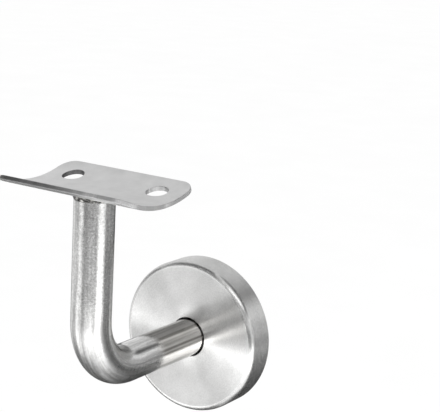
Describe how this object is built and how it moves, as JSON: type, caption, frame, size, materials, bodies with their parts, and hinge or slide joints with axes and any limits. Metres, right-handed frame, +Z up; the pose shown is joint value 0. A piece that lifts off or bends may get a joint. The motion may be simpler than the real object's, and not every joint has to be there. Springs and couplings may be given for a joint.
{
  "type": "handrail bracket",
  "caption": "Stainless wall bracket for a round handrail: curved saddle plate on a bent round rod, welded into a wall plate under a round drawn cover.",
  "frame": {"origin": "middle of the round wall plate, on the wall's face", "axes": "+Z up, +Y into the wall, the room towards -Y, the handrail along X"},
  "size_m": [0.058, 0.0881, 0.0982],
  "materials": {
    "saddle_steel": "fine matt brushing",
    "rod_steel": "brushed along the rod, polished next to the cover",
    "cover_steel": "brushed in circles",
    "plate_steel": "turned, matt",
    "weld_steel": "weld seam, dull"
  },
  "bodies": {
    "root": {"saddle": "saddle_steel", "bent_rod": "rod_steel", "cover": "cover_steel", "base_plate": "plate_steel", "saddle_weld": "weld_steel", "base_weld": "weld_steel"}
  },
  "joints": []
}
